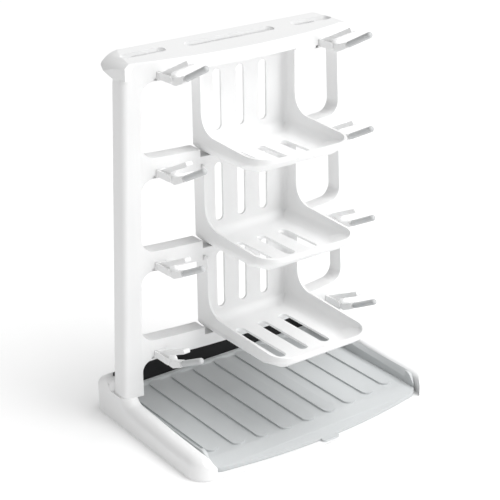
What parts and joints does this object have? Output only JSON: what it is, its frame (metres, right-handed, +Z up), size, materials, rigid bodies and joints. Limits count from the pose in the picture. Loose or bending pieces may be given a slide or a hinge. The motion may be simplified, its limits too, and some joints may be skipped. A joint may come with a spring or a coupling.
{
  "type": "countertop drying rack",
  "caption": "Upright countertop drying rack: a ladder frame on a broad base with a lift-out drip tray, scoop shelves and forked pegs with soft sleeves.",
  "frame": {"origin": "middle of the base's footprint, on the table", "axes": "+Z up, -Y towards the user in front, +X to the user's right"},
  "size_m": [0.3, 0.2112, 0.3866],
  "materials": {
    "white_plastic": "satin white moulded plastic",
    "tray_plastic": "fine matt light grey",
    "grip_rubber": "soft grey sleeve",
    "dark_panel": "matt near-black",
    "dark_rubber": "matt"
  },
  "bodies": {
    "rack": {"base": "white_plastic", "tower_frame": "white_plastic", "rear_panel": "dark_panel", "plug_left": "dark_rubber", "plug_right": "dark_rubber", "foot_1": "dark_rubber", "peg_left_1": "white_plastic", "grip_left_1": "grip_rubber", "peg_right_1": "white_plastic", "grip_right_1": "grip_rubber", "foot_2": "dark_rubber", "peg_left_2": "white_plastic", "grip_left_2": "grip_rubber", "peg_right_2": "white_plastic", "grip_right_2": "grip_rubber", "foot_3": "dark_rubber", "peg_left_3": "white_plastic", "grip_left_3": "grip_rubber", "peg_right_3": "white_plastic", "grip_right_3": "grip_rubber", "foot_4": "dark_rubber", "peg_left_4": "white_plastic", "grip_left_4": "grip_rubber", "peg_right_4": "white_plastic", "grip_right_4": "grip_rubber"},
    "drip_tray": {"drip_tray": "tray_plastic"},
    "shelf_top": {"shelf_top": "white_plastic"},
    "shelf_middle": {"shelf_middle": "white_plastic"},
    "shelf_bottom": {"shelf_bottom": "white_plastic"}
  },
  "joints": [
    {"name": "drip_tray_lift", "type": "slide", "parent": "rack", "child": "drip_tray", "axis": [0, 0, 1], "range_m": [0, 0.009]},
    {"name": "shelf_top_draw", "type": "slide", "parent": "rack", "child": "shelf_top", "axis": [0, -1, 0], "range_m": [0, 0.06]},
    {"name": "shelf_middle_draw", "type": "slide", "parent": "rack", "child": "shelf_middle", "axis": [0, -1, 0], "range_m": [0, 0.06]},
    {"name": "shelf_bottom_draw", "type": "slide", "parent": "rack", "child": "shelf_bottom", "axis": [0, -1, 0], "range_m": [0, 0.06]}
  ]
}
